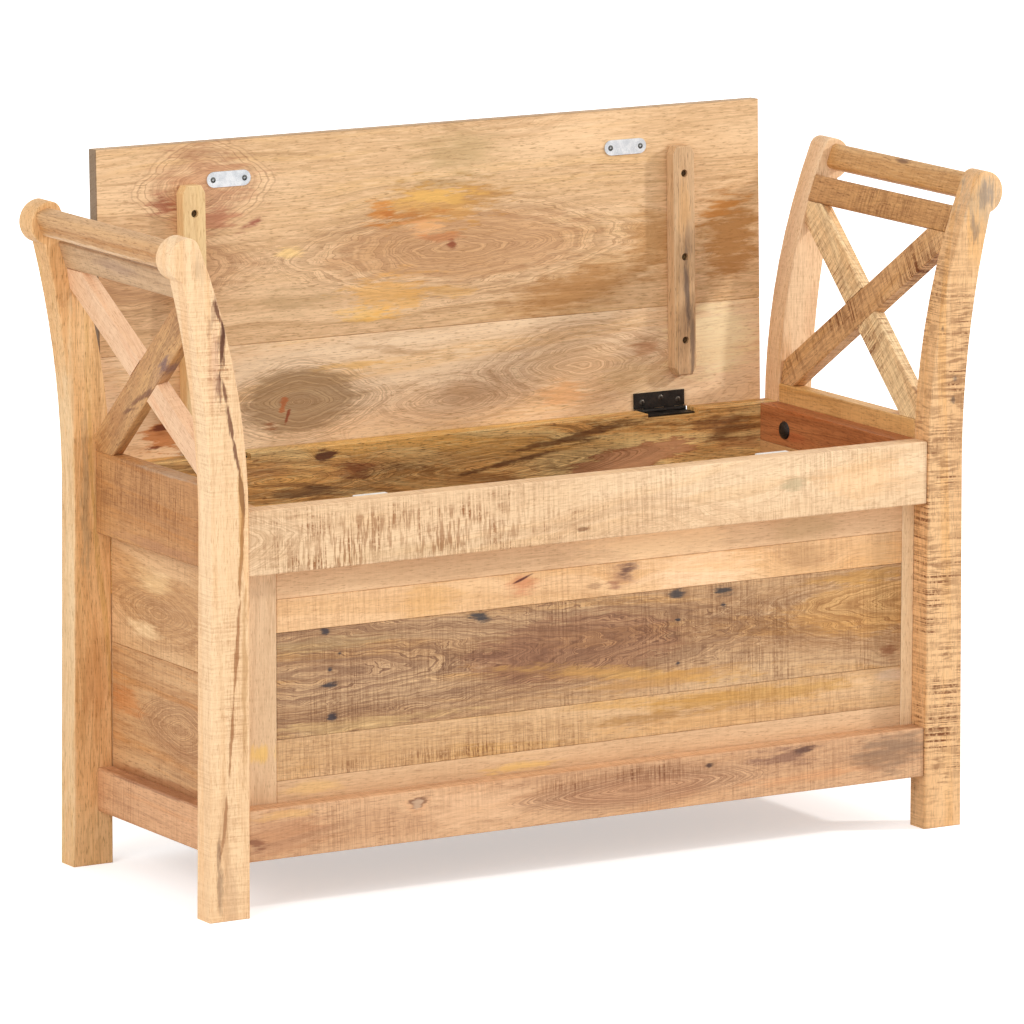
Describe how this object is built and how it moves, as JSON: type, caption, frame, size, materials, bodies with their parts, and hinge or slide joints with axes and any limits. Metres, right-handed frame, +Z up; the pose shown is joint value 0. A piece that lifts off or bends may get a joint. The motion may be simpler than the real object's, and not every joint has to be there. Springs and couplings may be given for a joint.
{
  "type": "hall bench",
  "caption": "Solid-wood hall bench with flared, scrolled end frames, cross braces under the arms, and a storage box under a hinged seat lid, stored with the lid open",
  "frame": {"origin": "on the floor, at the middle of the bounding box with the lid open", "axes": "+X to the right of someone facing the bench, +Y to its back, +Z up"},
  "size_m": [1.096, 0.3838, 0.8168],
  "materials": {
    "leg_wood": "clear satin lacquer",
    "arm_wood": "clear satin lacquer",
    "brace_wood": "clear satin lacquer",
    "end_rail_wood": "clear satin lacquer",
    "front_wood": "clear satin lacquer",
    "panel_wood": "clear satin lacquer",
    "box_wood": "clear satin lacquer",
    "lid_wood": "clear satin lacquer",
    "batten_wood": "clear satin lacquer",
    "plate_metal": "bright zinc plate",
    "hinge_metal": "black satin",
    "bolt_metal": "black satin",
    "screw_metal": "dull, dark brass",
    "catch_plastic": "white matt"
  },
  "bodies": {
    "frame": {"back_lower_board": "box_wood", "back_upper_board": "box_wood", "bottom_board": "box_wood", "front_apron": "front_wood", "front_bottom_rail": "front_wood", "left_arm_rail": "arm_wood", "left_box_hinge_leaf": "hinge_metal", "left_catch": "catch_plastic", "left_falling_brace": "brace_wood", "left_front_leg": "leg_wood", "left_hinge_pin": "hinge_metal", "left_low_rail": "end_rail_wood", "left_lower_arm_rail": "arm_wood", "left_lower_front_bolt": "bolt_metal", "left_lower_rear_bolt": "bolt_metal", "left_rear_leg": "leg_wood", "left_rising_brace": "brace_wood", "left_seat_rail": "end_rail_wood", "left_side_lower_board": "box_wood", "left_side_upper_board": "box_wood", "left_upper_front_bolt": "bolt_metal", "left_upper_rear_bolt": "bolt_metal", "panel_bottom_frame": "panel_wood", "panel_left_stile": "panel_wood", "panel_lower_board": "panel_wood", "panel_middle_board": "panel_wood", "panel_right_stile": "panel_wood", "panel_top_frame": "panel_wood", "panel_upper_board": "panel_wood", "right_arm_rail": "arm_wood", "right_box_hinge_leaf": "hinge_metal", "right_catch": "catch_plastic", "right_falling_brace": "brace_wood", "right_front_leg": "leg_wood", "right_hinge_pin": "hinge_metal", "right_low_rail": "end_rail_wood", "right_lower_arm_rail": "arm_wood", "right_lower_front_bolt": "bolt_metal", "right_lower_rear_bolt": "bolt_metal", "right_rear_leg": "leg_wood", "right_rising_brace": "brace_wood", "right_seat_rail": "end_rail_wood", "right_side_lower_board": "box_wood", "right_side_upper_board": "box_wood", "right_upper_front_bolt": "bolt_metal", "right_upper_rear_bolt": "bolt_metal"},
    "lid": {"lid_front_board": "lid_wood", "lid_rear_board": "lid_wood", "left_batten": "batten_wood", "left_batten_front_screw": "screw_metal", "left_batten_middle_screw": "screw_metal", "left_batten_rear_screw": "screw_metal", "left_strike_plate": "plate_metal", "left_lid_hinge_leaf": "hinge_metal", "right_batten": "batten_wood", "right_batten_front_screw": "screw_metal", "right_batten_middle_screw": "screw_metal", "right_batten_rear_screw": "screw_metal", "right_strike_plate": "plate_metal", "right_lid_hinge_leaf": "hinge_metal"}
  },
  "joints": [
    {"name": "lid_hinge", "type": "hinge", "parent": "frame", "child": "lid", "pos_m": [0, 0.16243, 0.4563], "axis": [1, 0, 0], "range_deg": [0, 91.66]}
  ]
}
